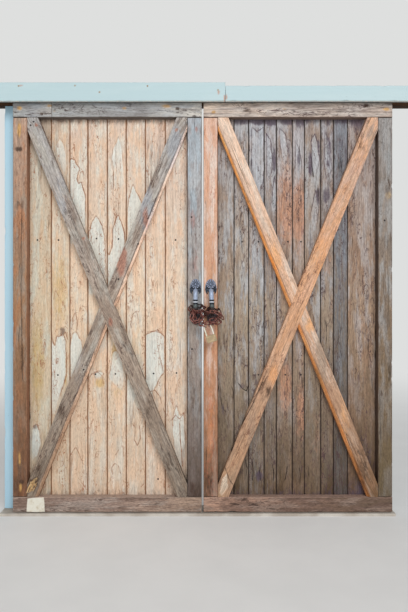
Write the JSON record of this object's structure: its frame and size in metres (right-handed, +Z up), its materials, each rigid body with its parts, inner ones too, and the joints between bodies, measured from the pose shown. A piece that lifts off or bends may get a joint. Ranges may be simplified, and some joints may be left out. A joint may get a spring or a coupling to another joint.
{
  "type": "barn door",
  "caption": "Pair of weathered cross-braced plank leaves sliding on a hidden flat track behind a painted fascia, with pull handles, chain and padlock.",
  "frame": {"origin": "middle of the sill's underside, midway between the closed leaves, in the track's plane", "axes": "+X to the right along the track, +Y into the wall, +Z up; the front faces -Y"},
  "size_m": [3.94, 0.2314, 2.327],
  "materials": {
    "wood_left": "bleached, weathered",
    "wood_right": "grey-brown, weathered",
    "fascia_paint": "pale blue paint",
    "header_wood": "brown, rough",
    "sill_stone": "pale cement",
    "track_steel": "dull black",
    "wheel_iron": "dull, worn",
    "handle_iron": "blue-grey, worn",
    "chain_steel": "rusty",
    "shackle_steel": "bright steel",
    "lock_brass": "dull brass"
  },
  "bodies": {
    "frame": {"sill": "sill_stone", "left_post": "fascia_paint", "right_post": "fascia_paint", "header": "header_wood", "track_bar": "track_steel", "track_bolts": "track_steel", "track_spacers": "track_steel", "left_fascia": "fascia_paint", "right_fascia": "fascia_paint", "fascia_straps": "track_steel", "track_stops": "track_steel"},
    "left_leaf": {"left_meeting_stile": "wood_left", "left_outer_stile": "wood_left", "left_bottom_rail": "wood_left", "left_top_rail": "wood_left", "left_over_brace": "wood_left", "left_under_brace": "wood_left", "left_hangers": "track_steel", "left_hanger_bolts": "track_steel", "left_guide_pin": "track_steel", "left_handle": "handle_iron", "left_chain": "chain_steel", "left_top_rail_end": "wood_left", "left_board_1": "wood_left", "left_board_2": "wood_left", "left_board_3": "wood_left", "left_board_4": "wood_left", "left_board_5": "wood_left", "left_board_6": "wood_left", "left_board_7": "wood_left", "left_board_8": "wood_left"},
    "right_leaf": {"right_meeting_stile": "wood_right", "right_outer_stile": "wood_right", "right_bottom_rail": "wood_right", "right_top_rail": "wood_right", "right_over_brace": "wood_right", "right_under_brace": "wood_right", "right_hangers": "track_steel", "right_hanger_bolts": "track_steel", "right_guide_pin": "track_steel", "right_handle": "handle_iron", "right_chain": "chain_steel", "right_board_1": "wood_right", "right_board_2": "wood_right", "right_board_3": "wood_right", "right_board_4": "wood_right", "right_board_5": "wood_right", "right_board_6": "wood_right", "right_board_7": "wood_right", "right_board_8": "wood_right", "right_board_9": "wood_right", "right_board_10": "wood_right"},
    "left_outer_wheel": {"left_outer_wheel": "wheel_iron"},
    "left_inner_wheel": {"left_inner_wheel": "wheel_iron"},
    "right_inner_wheel": {"right_inner_wheel": "wheel_iron"},
    "right_outer_wheel": {"right_outer_wheel": "wheel_iron"},
    "lock_shackle": {"lock_shackle": "shackle_steel"},
    "lock_body": {"lock_body": "lock_brass"},
    "lock_plug": {"lock_plug": "lock_brass"}
  },
  "joints": [
    {"name": "left_slide", "type": "slide", "parent": "frame", "child": "left_leaf", "axis": [-1, 0, 0], "range_m": [0, 0.985]},
    {"name": "right_slide", "type": "slide", "parent": "frame", "child": "right_leaf", "axis": [1, 0, 0], "range_m": [0, 0.985]},
    {"name": "left_inner_wheel_roll", "type": "hinge", "parent": "left_leaf", "child": "left_inner_wheel", "pos_m": [-0.125, 0, 2.285], "axis": [0, 1, 0], "continuous": true},
    {"name": "left_outer_wheel_roll", "type": "hinge", "parent": "left_leaf", "child": "left_outer_wheel", "pos_m": [-0.905, 0, 2.285], "axis": [0, 1, 0], "continuous": true},
    {"name": "right_inner_wheel_roll", "type": "hinge", "parent": "right_leaf", "child": "right_inner_wheel", "pos_m": [0.125, 0, 2.285], "axis": [0, 1, 0], "continuous": true},
    {"name": "right_outer_wheel_roll", "type": "hinge", "parent": "right_leaf", "child": "right_outer_wheel", "pos_m": [0.905, 0, 2.285], "axis": [0, 1, 0], "continuous": true},
    {"name": "padlock_swing", "type": "hinge", "parent": "right_leaf", "child": "lock_shackle", "pos_m": [0.02887, -0.104, 1.01593], "axis": [0, 1, 0], "range_deg": [-12, 30]},
    {"name": "lock_release", "type": "slide", "parent": "lock_shackle", "child": "lock_body", "axis": [0.309, 0, -0.9511], "range_m": [0, 0.009]},
    {"name": "key_turn", "type": "hinge", "parent": "lock_body", "child": "lock_plug", "pos_m": [0.05236, -0.104, 0.94365], "axis": [0.309, 0, -0.9511], "range_deg": [0, 90]}
  ],
  "couplings": [
    {"joint": "left_inner_wheel_roll", "follows": "left_slide", "rad_per_m": -55.556},
    {"joint": "left_outer_wheel_roll", "follows": "left_slide", "rad_per_m": -55.556},
    {"joint": "right_inner_wheel_roll", "follows": "right_slide", "rad_per_m": 55.556},
    {"joint": "right_outer_wheel_roll", "follows": "right_slide", "rad_per_m": 55.556}
  ]
}
